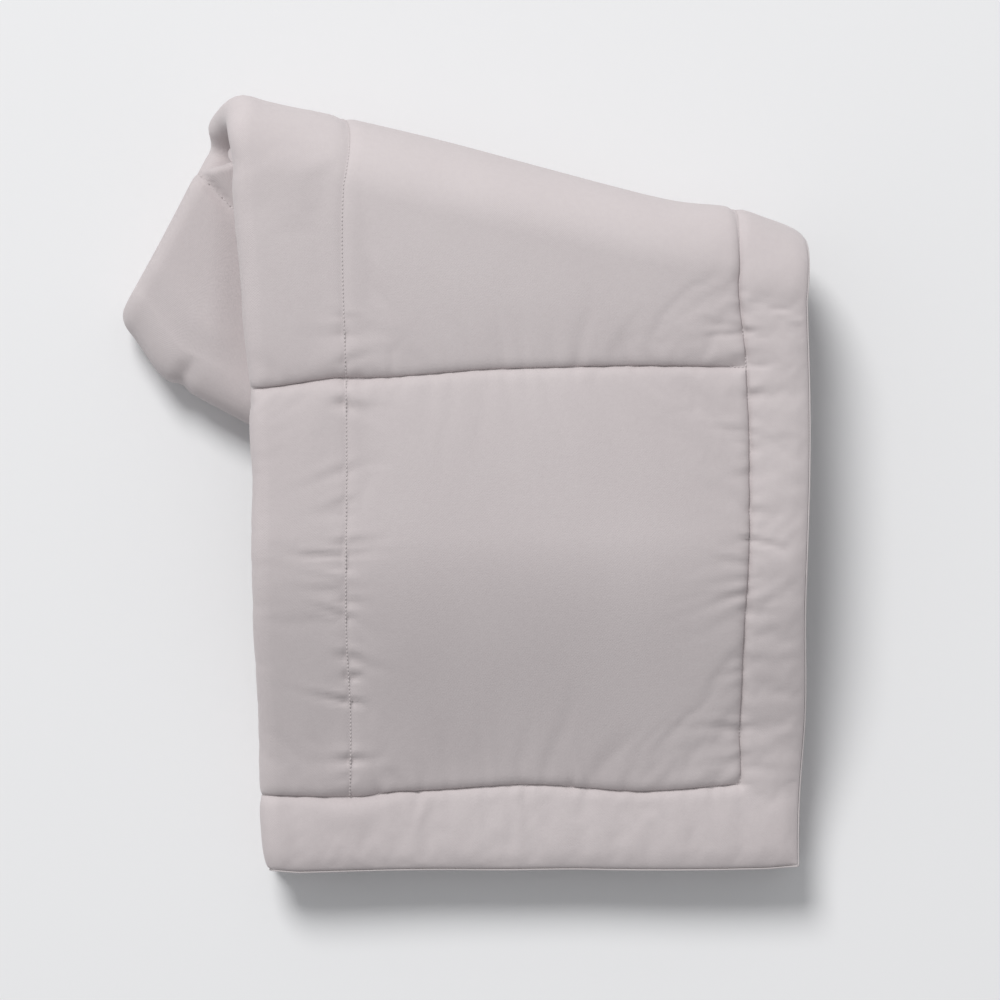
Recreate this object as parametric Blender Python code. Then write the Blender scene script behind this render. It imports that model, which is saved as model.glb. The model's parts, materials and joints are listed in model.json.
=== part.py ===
"""Camp quilt, folded for carrying.

The quilt is three sheets, a face fabric, a sheet of fill and a back fabric. It is folded in thirds
along its length, like a letter, which makes a strip of three plies. The strip is folded in half,
end to end, and the double strip is then turned over a slanted line, so that a pair of top leaves
lies over a pair of under leaves that show at the left. +Z is up, +Y runs from the open hem to the
slanted fold, and +X runs to the side with the free edge.
"""

import math

import bmesh
import bpy
from mathutils import Vector

# Sheets, in metres
CLOTH_THICKNESS = 0.0006
FILL_THICKNESS = 0.0064
SHEET_GAP = 0.0003
PLY_GAP = 0.0006

# Stitching on the strip, across it from the free edge and along it from the hem
SIDE_BORDER = 0.052
BOX_WIDTH = 0.309
WIDE_TURN_BORDER = 0.069
HEM_BORDER = 0.061
BOX_LENGTH = 0.329
ROW_TO_FOLD = 0.161
THREAD_WIDTH = 0.0012
THREAD_THICKNESS = 0.0005
FLAP_SEAM_OFFSET = 0.018
EDGE_SEAM_THICKNESS = 0.0006

# The folded strip
TUCKED_EDGE_GAP = 0.004
FOLD_SLOPE = math.radians(14.0)
FOLD_GAP = 0.002
FOLD_SHIFT = 0.045
UNDER_LENGTH = 0.119
TURN_END_GAP = 0.0003

# The top leaves come down to the floor past the under leaves
DROP_CLEARANCE = 0.0149
DROP_END = 0.068

# Fineness of the curved faces
WIDE_TURN_STEPS = 6
TIGHT_TURN_STEPS = 4
FOLD_STEPS = 8
END_FOLD_STEPS = 6
DROP_STEPS = 6

# Sizes that follow from those above
CORE_HALF = FILL_THICKNESS / 2
FACE_INNER = CORE_HALF + SHEET_GAP
FACE_OUTER = FACE_INNER + CLOTH_THICKNESS
PLY_PITCH = 2 * FACE_OUTER + PLY_GAP
LEAF_THICKNESS = 3 * PLY_PITCH
PAIR_THICKNESS = 2 * LEAF_THICKNESS
WIDE_TURN_X = PLY_PITCH + FACE_OUTER
STRIP_WIDTH = WIDE_TURN_BORDER + BOX_WIDTH + SIDE_BORDER
TIGHT_TURN_X = STRIP_WIDTH - PLY_PITCH / 2 - FACE_OUTER
LEAF_LENGTH = HEM_BORDER + BOX_LENGTH + ROW_TO_FOLD
FOLD_HEIGHT = PAIR_THICKNESS + FOLD_GAP / 2 - PLY_GAP / 2
DROP_DEPTH = PAIR_THICKNESS + FOLD_GAP
BOX_SEAM_X = WIDE_TURN_BORDER
SIDE_SEAM_X = WIDE_TURN_BORDER + BOX_WIDTH
ROW_SEAM_Y = HEM_BORDER + BOX_LENGTH
UNDER_CORNER_Y = (LEAF_LENGTH + FOLD_SHIFT * math.sin(FOLD_SLOPE)
                  - STRIP_WIDTH * math.sin(2 * FOLD_SLOPE) - UNDER_LENGTH * math.cos(2 * FOLD_SLOPE))
DROP_START = UNDER_CORNER_Y - DROP_CLEARANCE

ALONG_FOLD = Vector((math.cos(FOLD_SLOPE), -math.sin(FOLD_SLOPE), 0))
ACROSS_FOLD = Vector((math.sin(FOLD_SLOPE), math.cos(FOLD_SLOPE), 0))
UNDER_ACROSS = Vector((math.cos(2 * FOLD_SLOPE), -math.sin(2 * FOLD_SLOPE), 0))
UNDER_ALONG = Vector((-math.sin(2 * FOLD_SLOPE), -math.cos(2 * FOLD_SLOPE), 0))
FOLD_POINT = Vector((0, LEAF_LENGTH, FOLD_HEIGHT))
UP = Vector((0, 0, 1))

BANDS = {
    "face_fabric": (FACE_INNER, FACE_OUTER),
    "fill_sheet": (-CORE_HALF, CORE_HALF),
    "back_fabric": (-FACE_OUTER, -FACE_INNER),
}

built = []


def arc(centre_x, centre_w, radius, start, end, steps):
    """Points of an arc in the strip's cross-section, as (across, height) pairs."""
    points = []
    for k in range(steps + 1):
        angle = start + (end - start) * k / steps
        points.append((centre_x + radius * math.cos(angle), centre_w + radius * math.sin(angle)))
    return points


def letter_path(offset):
    """The folded ply's line at an offset towards its face side, from the free edge inwards."""
    free_edge = [(STRIP_WIDTH, 2.5 * PLY_PITCH + offset)]
    wide = arc(WIDE_TURN_X, 1.5 * PLY_PITCH, PLY_PITCH + offset,
               math.pi / 2, 3 * math.pi / 2, WIDE_TURN_STEPS)
    tight = arc(TIGHT_TURN_X, PLY_PITCH, PLY_PITCH / 2 + offset,
                -math.pi / 2, math.pi / 2, TIGHT_TURN_STEPS)
    tucked_edge = [(WIDE_TURN_X + TUCKED_EDGE_GAP, 1.5 * PLY_PITCH + offset)]
    return free_edge + wide + tight + tucked_edge


def letter_outline(band):
    """The closed outline of one sheet in the three folded plies."""
    inner, outer = band
    return letter_path(outer) + letter_path(inner)[::-1]


def upper(w):
    """Height in the pair of the leaf that ends up outermost."""
    return LEAF_THICKNESS + w


def lower(w):
    """Height in the pair of the leaf that ends up inside the fold, which is its mirror image."""
    return LEAF_THICKNESS - w


def drop(y):
    """How far the top leaves have come down at this distance from the hem."""
    part = min(max((DROP_START - y) / (DROP_START - DROP_END), 0), 1)
    return DROP_DEPTH * part * part * (3 - 2 * part)


def fold_line_y(x):
    """Where the slanted fold starts, across the strip."""
    return LEAF_LENGTH - x * math.tan(FOLD_SLOPE)


def top_point(x, y, w):
    """A point of the top leaves."""
    return Vector((x, y, FOLD_HEIGHT + FOLD_GAP / 2 + w - drop(y)))


def turn_point(x, angle, w):
    """A point of the turn over the slanted line, which also slides along that line."""
    slide = x / math.cos(FOLD_SLOPE) - FOLD_SHIFT * angle / math.pi
    radius = FOLD_GAP / 2 + w
    return (FOLD_POINT + ALONG_FOLD * slide + ACROSS_FOLD * radius * math.sin(angle)
            + UP * radius * math.cos(angle))


def under_point(x, length, w):
    """A point of the under leaves, at a distance along them from the fold's left end."""
    return (FOLD_POINT - ALONG_FOLD * FOLD_SHIFT + UNDER_ACROSS * x + UNDER_ALONG * length
            - UP * (FOLD_GAP / 2 + w))


def end_fold_point(x, angle, reach):
    """A point of the fold that joins the two under leaves, by its distance from their meeting."""
    middle = under_point(x, UNDER_LENGTH, LEAF_THICKNESS)
    return middle + UNDER_ALONG * reach * math.sin(angle) + UP * reach * math.cos(angle)


def top_stations():
    """Distances from the hem at which the top leaves get a cross-section, also at each seam."""
    slope = [DROP_END + (DROP_START - DROP_END) * k / DROP_STEPS for k in range(DROP_STEPS + 1)]
    seams = [y + side * THREAD_WIDTH / 2 for y in (HEM_BORDER, ROW_SEAM_Y) for side in (-1, 1)]
    return sorted([0] + slope + seams)


def loft(name, sections, material, pivot=None):
    """A closed body through cross-sections that have the same number of points."""
    built.append({"name": name, "sections": sections, "material": material, "pivot": pivot})


def top_sections(outline, side, start=0.0):
    """Cross-sections of a piece of a top leaf, from the hem or a seam to the slanted fold."""
    stations = [y for y in top_stations() if y >= start]
    sections = [[top_point(x, y, side(w)) for x, w in outline] for y in stations]
    back_off = TURN_END_GAP / math.cos(FOLD_SLOPE)
    return sections + [[top_point(x, fold_line_y(x) - back_off, side(w)) for x, w in outline]]


def turn_sections(outline, side, last_step=FOLD_STEPS):
    """Cross-sections of a piece of the slanted turn."""
    angles = [math.pi * k / FOLD_STEPS for k in range(last_step + 1)]
    return [[turn_point(x, angle, side(w)) for x, w in outline] for angle in angles]


def under_sections(outline):
    """Cross-sections of the under leaves, down the upper one and back along the lower one."""
    back_off = TURN_END_GAP / math.cos(FOLD_SLOPE)
    start = [back_off - x * math.tan(FOLD_SLOPE) for x, w in outline]
    first = [under_point(p[0], s, lower(p[1])) for p, s in zip(outline, start)]
    last = [under_point(p[0], s, upper(p[1])) for p, s in zip(outline, start)]
    angles = [math.pi * k / END_FOLD_STEPS for k in range(END_FOLD_STEPS + 1)]
    bend = [[end_fold_point(x, angle, w) for x, w in outline] for angle in angles]
    return [first] + bend + [last]


def sheets():
    """The three sheets of the quilt, each in the stretches that the joint needs."""
    for name, band in BANDS.items():
        outline = letter_outline(band)
        loft(name + "_top_leaf", top_sections(outline, upper), name, "top_leaf_pivot")
        loft(name + "_second_leaf", top_sections(outline, lower), name, "top_leaf_pivot")
        loft(name + "_outer_turn", turn_sections(outline, upper), name)
        loft(name + "_inner_turn", turn_sections(outline, lower), name)
        loft(name + "_under_leaves", under_sections(outline), name)


def box_outline(x_low, x_high, w_low, w_high):
    """A rectangle in the strip's cross-section."""
    return [(x_low, w_low), (x_high, w_low), (x_high, w_high), (x_low, w_high)]


def long_thread(name, x):
    """A lengthwise row of stitches, from the hem border's row over the top leaf and the turn."""
    low = 2.5 * PLY_PITCH + FACE_OUTER + SHEET_GAP
    outline = box_outline(x - THREAD_WIDTH / 2, x + THREAD_WIDTH / 2, low, low + THREAD_THICKNESS)
    start = HEM_BORDER - THREAD_WIDTH / 2
    loft(name + "_top_leaf", top_sections(outline, upper, start), "thread", "top_leaf_pivot")
    loft(name + "_turn", turn_sections(outline, upper, FOLD_STEPS // 2), "thread")


def cross_thread_outline():
    """A crosswise row of stitches from the side border's, and on round the wide turn's top."""
    inner = FACE_OUTER + 2 * SHEET_GAP + THREAD_THICKNESS
    outer = inner + THREAD_THICKNESS
    start = SIDE_SEAM_X + THREAD_WIDTH / 2
    quarter = WIDE_TURN_STEPS // 2 + 2
    outside = [(start, 2.5 * PLY_PITCH + outer)] + letter_path(outer)[1:quarter]
    inside = [(start, 2.5 * PLY_PITCH + inner)] + letter_path(inner)[1:quarter]
    return outside + inside[::-1]


def cross_thread(name, y):
    """A crosswise row of stitches on the top leaf."""
    sections = []
    for side_y in (y - THREAD_WIDTH / 2, y + THREAD_WIDTH / 2):
        sections.append([top_point(x, side_y, upper(w)) for x, w in cross_thread_outline()])
    loft(name, sections, "thread", "top_leaf_pivot")


def flap_thread():
    """The crosswise row of stitches that shows on the upper under leaf."""
    inner = FACE_OUTER + SHEET_GAP
    quarter = WIDE_TURN_STEPS // 2 + 2
    outline = letter_path(inner + THREAD_THICKNESS)[:quarter] + letter_path(inner)[:quarter][::-1]
    thread_length = FLAP_SEAM_OFFSET + THREAD_WIDTH
    sections = []
    for length in (FLAP_SEAM_OFFSET, thread_length):
        sections.append([under_point(x, length, lower(w)) for x, w in outline])
    loft("row_stitches_under_leaf", sections, "thread")


def edge_seams():
    """Where the face and the back are sewn to each other, along the free edge and the hem."""
    low = 2.5 * PLY_PITCH - FACE_OUTER
    high = 2.5 * PLY_PITCH + FACE_OUTER
    side_x = STRIP_WIDTH + SHEET_GAP
    side_outline = box_outline(side_x, side_x + EDGE_SEAM_THICKNESS, low, high)
    hem_outline = box_outline(WIDE_TURN_X, STRIP_WIDTH, low, high)
    for leaf, side in (("top_leaf", upper), ("second_leaf", lower)):
        loft("side_edge_seam_" + leaf, top_sections(side_outline, side), "edge_seam",
             "top_leaf_pivot")
        sections = []
        for y in (-SHEET_GAP - EDGE_SEAM_THICKNESS, -SHEET_GAP):
            sections.append([top_point(x, y, side(w)) for x, w in hem_outline])
        loft("hem_seam_" + leaf, sections, "edge_seam", "top_leaf_pivot")


def make_material(name, colour, roughness):
    """A plain cloth material."""
    material = bpy.data.materials.new(name)
    material.use_nodes = True
    shader = material.node_tree.nodes["Principled BSDF"]
    shader.inputs["Base Color"].default_value = (*colour, 1)
    shader.inputs["Roughness"].default_value = roughness
    shader.inputs["Metallic"].default_value = 0
    return material


def make_mesh(name, sections, centre):
    """The mesh through the cross-sections, with its points relative to a centre."""
    mesh = bmesh.new()
    rings = [[mesh.verts.new(point - centre) for point in section] for section in sections]
    count = len(rings[0])
    for ring, after in zip(rings, rings[1:]):
        for k in range(count):
            following = (k + 1) % count
            corners = (ring[k], ring[following], after[following], after[k])
            # The way back along an outline is split the other way, so neighbours stay parallel
            if k >= count // 2:
                corners = corners[1:] + corners[:1]
            mesh.faces.new((corners[0], corners[1], corners[2]))
            mesh.faces.new((corners[0], corners[2], corners[3]))
    for k in range(count // 2 - 1):
        # Each end is closed across the outline, from its way out to its way back
        corners = (k, k + 1, count - 2 - k, count - 1 - k)
        mesh.faces.new([rings[-1][c] for c in corners])
        mesh.faces.new([rings[0][c] for c in reversed(corners)])
    if mesh.calc_volume(signed=True) < 0:
        bmesh.ops.reverse_faces(mesh, faces=mesh.faces[:])
    data = bpy.data.meshes.new(name)
    mesh.to_mesh(data)
    mesh.free()
    return data


def make_empty(name, location, parent=None):
    """An empty that other objects are parented to."""
    empty = bpy.data.objects.new(name, None)
    empty.location = location
    empty.parent = parent
    bpy.context.scene.collection.objects.link(empty)
    return empty


def main():
    for old in list(bpy.data.objects):
        bpy.data.objects.remove(old)

    sheets()
    long_thread("side_border_stitches", SIDE_SEAM_X)
    long_thread("box_stitches", BOX_SEAM_X)
    cross_thread("row_stitches_top_leaf", ROW_SEAM_Y)
    cross_thread("hem_border_stitches", HEM_BORDER)
    flap_thread()
    edge_seams()

    points = [point for piece in built for section in piece["sections"] for point in section]
    middle_x = (min(p.x for p in points) + max(p.x for p in points)) / 2
    middle_y = (min(p.y for p in points) + max(p.y for p in points)) / 2

    quilt_colour = (0.520, 0.475, 0.478)
    materials = {
        "face_fabric": make_material("face_fabric", quilt_colour, 0.72),
        "fill_sheet": make_material("fill_sheet", (0.86, 0.86, 0.84), 0.95),
        "back_fabric": make_material("back_fabric", (0.500, 0.460, 0.463), 0.74),
        "thread": make_material("thread", (0.560, 0.515, 0.515), 0.60),
        "edge_seam": make_material("edge_seam", (0.540, 0.500, 0.500), 0.70),
    }
    whole = make_empty("quilt_origin", (-middle_x, -middle_y, 0))
    pivots = {"top_leaf_pivot": make_empty("top_leaf_pivot", FOLD_POINT, whole)}

    for piece in built:
        pivot = piece["pivot"]
        centre = FOLD_POINT if pivot else Vector((0, 0, 0))
        data = make_mesh(piece["name"], piece["sections"], centre)
        data.materials.append(materials[piece["material"]])
        data.shade_smooth()
        data.set_sharp_from_angle(angle=math.radians(35))
        piece_object = bpy.data.objects.new(piece["name"], data)
        piece_object.parent = pivots[pivot] if pivot else whole
        bpy.context.scene.collection.objects.link(piece_object)


main()
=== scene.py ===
import json
import math

import bpy
import numpy as np
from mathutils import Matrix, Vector


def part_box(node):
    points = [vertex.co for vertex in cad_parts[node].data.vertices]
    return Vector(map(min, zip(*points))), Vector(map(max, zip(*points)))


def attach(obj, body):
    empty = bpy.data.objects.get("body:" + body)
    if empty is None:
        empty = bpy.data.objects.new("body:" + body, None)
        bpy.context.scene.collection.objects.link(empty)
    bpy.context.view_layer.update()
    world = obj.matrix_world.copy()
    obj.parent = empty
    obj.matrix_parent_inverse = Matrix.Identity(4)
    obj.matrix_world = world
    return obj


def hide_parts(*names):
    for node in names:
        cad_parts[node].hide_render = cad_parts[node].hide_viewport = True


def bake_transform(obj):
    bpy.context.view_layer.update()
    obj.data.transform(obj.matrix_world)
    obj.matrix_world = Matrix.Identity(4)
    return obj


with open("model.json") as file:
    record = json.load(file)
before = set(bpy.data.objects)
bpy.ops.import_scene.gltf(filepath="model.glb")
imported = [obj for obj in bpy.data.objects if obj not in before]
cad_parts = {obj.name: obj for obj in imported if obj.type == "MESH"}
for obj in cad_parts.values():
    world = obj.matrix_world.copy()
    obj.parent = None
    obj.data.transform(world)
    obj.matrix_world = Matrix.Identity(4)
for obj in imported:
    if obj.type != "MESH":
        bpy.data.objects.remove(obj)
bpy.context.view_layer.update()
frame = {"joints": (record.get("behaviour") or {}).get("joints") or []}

hinge = next(j for j in frame["joints"] if j["name"] == "slanted_fold")
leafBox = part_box("face_fabric_top_leaf")

# How the quilt is folded. Lengths are metres, and "pitch" is one padded layer with its gap.
foldPlan = {
    "pitch": 0.0088,
    "coverOut": 0.0041,
    "foldGap": 0.002,
    "blendReach": 0.05,
    "slideAlong": 0.045,
    "slidePower": 1.3,
    "innerTuck": 0.020,
    "tuckReach": 0.010,
    "tuckWidth": 0.08,
    "tuckFullAt": 1.2,
    "shiftTo": 0.667,
    "underLength": 0.119,
    "underExtra": 0.025,
    "extraLeast": 0.12,
    "extraGrow": 0.060,
    "extraFade": (0.20, 0.20),
    "tuckedGap": 0.004,
    "dropStart": 0.262,
    "dropEnd": 0.044,
    "wideTurnSteps": 12,
    "tightTurnSteps": 8,
    "endFoldSteps": 10,
    "tuckedLip": (0.0055, 0.0030, 0.0012, 0.0003),
    "straightTo": 0.410,
    "slantShort": 0.05,
}

hingePoint = np.array(hinge["pos_m"])
foldSlope = math.atan2(abs(hinge["axis"][1]), abs(hinge["axis"][0]))
stripWidth = leafBox[1].x - hingePoint[0]
leafLength = hingePoint[1] - leafBox[0].y
quiltOrigin = np.array([hingePoint[0], leafBox[0].y, 0.0])
pitch = foldPlan["pitch"]
bottomLayer, middleLayer, topLayer = 0.5 * pitch, 1.5 * pitch, 2.5 * pitch
leafThick = 3 * pitch
wideTurnX = pitch + foldPlan["coverOut"]
tightTurnX = stripWidth - pitch / 2 - foldPlan["coverOut"]
foldHeight = hingePoint[2]
halfGap = foldPlan["foldGap"] / 2
dropDepth = 2 * leafThick + foldPlan["foldGap"]
slopeTan = math.tan(foldSlope)
alongFold = np.array([math.cos(foldSlope), -math.sin(foldSlope), 0.0])
acrossFold = np.array([math.sin(foldSlope), math.cos(foldSlope), 0.0])
underAcross = np.array([math.cos(2 * foldSlope), -math.sin(2 * foldSlope), 0.0])
underAlong = np.array([-math.sin(2 * foldSlope), -math.cos(2 * foldSlope), 0.0])
foldStart = np.array([0.0, leafLength, foldHeight])
upward = np.array([0.0, 0.0, 1.0])


def smooth(t):
    t = np.clip(t, 0.0, 1.0)
    return t * t * (3 - 2 * t)


def easedCurve(value, knots, heights):
    # A curve through given heights that is level at each of them
    value = np.clip(value, knots[0], knots[-1])
    place = np.clip(np.searchsorted(knots, value, side="right") - 1, 0, len(knots) - 2)
    low, high = np.take(knots, place), np.take(knots, place + 1)
    part = smooth((value - low) / (high - low))
    return np.take(heights, place) * (1 - part) + np.take(heights, place + 1) * part


# Where the sheets lie

# Side edges and seams wander a little, as sewn and folded by hand.
wander = {
    "edgeAt": (0.0, 0.06, 0.20, 0.30, 0.37, 0.45, 0.54, 0.578, 0.605),
    "leftEdge": (0.0060, 0.0030, 0.0025, 0.0, -0.0040, -0.0070, -0.0145, -0.0215, -0.0175),
    "boxSeamAt": (0.0, 0.06, 0.39, 0.50, 0.59),
    "boxSeam": (0.0060, 0.0050, 0.0018, 0.0008, 0.0030),
    "sideSeamAt": (0.0, 0.067, 0.105, 0.244, 0.33, 0.39, 0.455, 0.51),
    "sideSeam": (0.0010, 0.0025, 0.0, 0.0052, 0.0032, 0.0018, -0.0025, -0.0035),
    "rightEdgeAt": (0.0, 0.12, 0.25, 0.45, 0.49, 0.62),
    "rightEdge": (-0.0045, -0.0015, -0.0020, -0.0020, 0.0, 0.0),
    "hemSeamAt": (0.0, 0.0716, 0.112, 0.218, 0.30, 0.378, 0.43),
    "hemSeam": (-0.0015, -0.0043, -0.0004, 0.0059, 0.0020, 0.0059, 0.0065),
    "rowSeamAt": (0.0, 0.0716, 0.19, 0.378, 0.43),
    "rowSeam": (-0.0146, -0.0044, 0.0027, 0.0027, 0.0030),
    "hemEdgeAt": (0.0, 0.03, 0.17, 0.26, 0.40, 0.43),
    "hemEdge": (0.0010, -0.0012, -0.0008, 0.0016, 0.0010, 0.0022),
    "straightFrom": 0.50,
}

# The soft drift of the whole stack: its size, and its waves as radians per metre and a phase
swayPlan = {"size": 0.0016, "fullAt": 0.05, "across": ((21, 0.7), (60, 0.4)),
            "along": ((19, 2.1), (50, 1.3)), "up": (17, 11, 1.0), "upShare": 0.8}

seamPlan = {"hem": 0.061, "row": 0.390, "box": 0.069, "side": 0.378,
            "underRow": 0.0125, "underRowTilt": 0.34, "underRowTo": 0.06}


def drop(y):
    start, end = foldPlan["dropStart"], foldPlan["dropEnd"]
    return dropDepth * smooth((start - y) / (start - end))


def foldLine(x):
    return leafLength - x * slopeTan


def placeTop(x, y, w):
    return np.stack([x, y, foldHeight + halfGap + w - drop(y)], -1)


def placeTurn(x, angle, w):
    slide = x / math.cos(foldSlope)
    slide = slide - foldPlan["slideAlong"] * (angle / math.pi) ** foldPlan["slidePower"]
    radius = halfGap + w
    return (foldStart + slide[..., None] * alongFold
            + (radius * np.sin(angle))[..., None] * acrossFold
            + (radius * np.cos(angle))[..., None] * upward)


def placeUnder(x, length, w):
    return (foldStart - alongFold * foldPlan["slideAlong"] + x[..., None] * underAcross
            + length[..., None] * underAlong - (halfGap + w)[..., None] * upward)


def placeEndFold(x, angle, reach):
    middle = placeUnder(x, foldPlan["underLength"] + underExtra(x), leafThick + 0 * x)
    return (middle + (reach * np.sin(angle))[..., None] * underAlong
            + (reach * np.cos(angle))[..., None] * upward)


def underExtra(x):
    # The under leaves run on a little past their corner, which is rounded off
    plan = foldPlan
    least, (fadeFrom, fadeOver) = plan["extraLeast"], plan["extraFade"]
    grow = least + (1 - least) * smooth(x / plan["extraGrow"])
    return plan["underExtra"] * grow * (1 - smooth((x - fadeFrom) / fadeOver))


def underRowAt(x):
    # The row seam runs a little askew on the part of the under leaf that shows
    return seamPlan["underRow"] + seamPlan["underRowTilt"] * np.minimum(x, seamPlan["underRowTo"])


def letterColumns(topStations, lowerStep):
    # Across the strip: the top layer from the free edge, the wide turn, the bottom layer,
    # the tight turn and the middle layer. Each column has its place, its outward direction
    # and its distance along the cloth.
    columns = [(x, topLayer, 0.0, 1.0, stripWidth - x) for x in topStations]
    run = stripWidth - wideTurnX
    steps = foldPlan["wideTurnSteps"]
    for k in range(1, steps + 1):
        a = math.pi / 2 + math.pi * k / steps
        columns.append((wideTurnX + pitch * math.cos(a), middleLayer + pitch * math.sin(a),
                        math.cos(a), math.sin(a), run + pitch * math.pi * k / steps))
    run += pitch * math.pi
    count = max(2, round((tightTurnX - wideTurnX) / lowerStep))
    for k in range(1, count + 1):
        x = wideTurnX + (tightTurnX - wideTurnX) * k / count
        columns.append((x, bottomLayer, 0.0, -1.0, run + x - wideTurnX))
    run += tightTurnX - wideTurnX
    steps = foldPlan["tightTurnSteps"]
    for k in range(1, steps + 1):
        a = -math.pi / 2 + math.pi * k / steps
        columns.append((tightTurnX + pitch / 2 * math.cos(a), pitch + pitch / 2 * math.sin(a),
                        math.cos(a), math.sin(a), run + pitch / 2 * math.pi * k / steps))
    run += pitch / 2 * math.pi
    endX = wideTurnX + foldPlan["tuckedGap"]
    for k in range(1, count + 1):
        x = tightTurnX + (endX - tightTurnX) * k / count
        columns.append((x, middleLayer, 0.0, 1.0, run + tightTurnX - x))
    last = columns.pop()
    for d in foldPlan["tuckedLip"]:
        columns.append((last[0] + d, last[1], 0.0, 1.0, last[4] - d))
    return np.array(columns + [last])


# Extra stations on both sides of each seam and inward of each edge
besideSeams = (-0.0024, -0.0011, 0.0011, 0.0024)
besideEdges = (0.0003, 0.0010, 0.0022, 0.0042, 0.0070)
closestStations = 0.00065


def stations(low, high, step, seams, edge=None):
    # Even stations that fall on every seam, closer together beside seams and edges
    marks = sorted([low, *seams, high])
    found = set()
    for a, b in zip(marks, marks[1:]):
        count = max(1, round((b - a) / step))
        found.update(round(a + (b - a) * k / count, 6) for k in range(count + 1))
    for seam in seams:
        found.update(round(seam + d, 6) for d in besideSeams)
    for at, side in (edge or []):
        found.update(round(at + side * d, 6) for d in besideEdges)
    ordered = sorted(found)
    kept = [ordered[0]]
    for value in ordered[1:]:
        if value - kept[-1] > closestStations or value in marks:
            kept.append(value)
    return kept


def quiltRows(step, coarseStep, flapStep, turnSteps):
    # Along the strip: (stretch, value, leaf), where leaf 1 is the outer one and -1 the inner
    rows = []
    seams = [seamPlan["hem"], seamPlan["row"]]
    straight = stations(0.0, foldPlan["straightTo"], step, seams, [(0.0, 1)])
    rows += [("top", y, 1) for y in straight]
    slantLength = leafLength - foldPlan["slantShort"] - foldPlan["straightTo"]
    count = max(2, round(slantLength / step))
    rows += [("slant", k / count, 1) for k in range(1, count)]
    rows += [("turn", math.pi * k / turnSteps, 1) for k in range(turnSteps + 1)]
    count = max(2, round(foldPlan["underLength"] / coarseStep))
    rows += [("under", k / count, 1) for k in range(1, count + 1)]
    steps = foldPlan["endFoldSteps"]
    rows += [("end", math.pi * (1 - k / steps), 1) for k in range(1, steps)]
    fine = max(4, round(foldPlan["underLength"] / flapStep))
    rows += [("under", k / fine, -1) for k in range(fine, 0, -1)]
    half = max(8, turnSteps // 2)
    rows += [("turn", math.pi * (1 - k / half), -1) for k in range(half + 1)]
    count = max(2, round(slantLength / coarseStep))
    rows += [("slant", k / count, -1) for k in range(count - 1, 0, -1)]
    back = stations(0.0, foldPlan["straightTo"], coarseStep, seams, [(0.0, 1)])
    rows += [("top", y, -1) for y in back[::-1]]
    return rows


def rowBlend(rows):
    weights = {"top": 1.0, "slant": 1.0, "under": 0.0, "end": 0.0}
    return np.array([1 - value / math.pi if kind == "turn" else weights[kind]
                     for kind, value, leaf in rows])


def sheetShift(x, y):
    # How far a point of the top leaves strays from its place on a perfect folding
    seams = seamPlan
    left = easedCurve(y, wander["edgeAt"], wander["leftEdge"])
    box = easedCurve(y, wander["boxSeamAt"], wander["boxSeam"])
    side = easedCurve(y, wander["sideSeamAt"], wander["sideSeam"])
    right = easedCurve(y, wander["rightEdgeAt"], wander["rightEdge"])
    marks = np.array([0.0, seams["box"], seams["side"], stripWidth])
    part = np.clip(np.searchsorted(marks, x, side="right") - 1, 0, 2)
    t = smooth((x - marks[part]) / (marks[part + 1] - marks[part]))
    values = np.stack(np.broadcast_arrays(left, box, side, right), 0)
    grid = np.indices(part.shape)
    shiftX = values[(part, *grid)] * (1 - t) + values[(part + 1, *grid)] * t
    edge = easedCurve(x, wander["hemEdgeAt"], wander["hemEdge"])
    hem = easedCurve(x, wander["hemSeamAt"], wander["hemSeam"])
    row = easedCurve(x, wander["rowSeamAt"], wander["rowSeam"])
    marks = np.array([0.0, seams["hem"], seams["row"], wander["straightFrom"]])
    part = np.clip(np.searchsorted(marks, y, side="right") - 1, 0, 2)
    t = smooth((y - marks[part]) / (marks[part + 1] - marks[part]))
    values = np.stack(np.broadcast_arrays(edge, hem, row, 0 * row), 0)
    shiftY = values[(part, *grid)] * (1 - t) + values[(part + 1, *grid)] * t
    return shiftX, shiftY


def innerTuck(x):
    # The inner turn is drawn in under the top leaves at its left end
    return foldPlan["innerTuck"] * (1 - smooth(x / foldPlan["tuckWidth"]))


def layRows(columns, rows, offsets):
    # Points of a sheet that lies the given offsets off the middle of the layer
    across = columns[:, 0][None, :] + columns[:, 2][None, :] * offsets
    height = columns[:, 1][None, :] + columns[:, 3][None, :] * offsets
    points = np.zeros(offsets.shape + (3,))
    for i, (kind, value, leaf) in enumerate(rows):
        x, w = across[i], leafThick + leaf * height[i]
        flatX = np.clip(columns[:, 0], 0, stripWidth)
        if kind in ("top", "slant"):
            y = value + 0 * flatX
            if kind == "slant":
                start = foldPlan["straightTo"]
                y = start + (foldLine(flatX) - start) * value
            shiftX, shiftY = sheetShift(flatX, y)
            points[i] = placeTop(x + shiftX, y + shiftY, w)
        elif kind == "turn":
            angle = value + 0 * x
            y = foldLine(flatX) + (halfGap + w) * math.sin(min(value, math.pi / 2))
            shiftTo = foldPlan["shiftTo"]
            fade = 1 - smooth((value / math.pi - shiftTo) / (1 - shiftTo))
            shiftX, shiftY = sheetShift(flatX, y)
            points[i] = placeTurn(x, angle, w)
            points[i, :, 0] += shiftX * fade
            points[i, :, 1] += shiftY * fade
            if leaf < 0:
                tuck = innerTuck(flatX) * smooth(value / foldPlan["tuckFullAt"])
                points[i] += tuck[:, None] * alongFold
        elif kind == "under":
            start = -flatX * slopeTan
            length = start + (foldPlan["underLength"] + underExtra(flatX) - start) * value
            points[i] = placeUnder(x, length, w)
            if leaf < 0:
                near = np.exp(-((length - start) / foldPlan["tuckReach"]) ** 2)
                points[i] += (innerTuck(flatX) * near)[:, None] * alongFold
        else:
            points[i] = placeEndFold(x, value + 0 * x, height[i])
    return points


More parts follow.
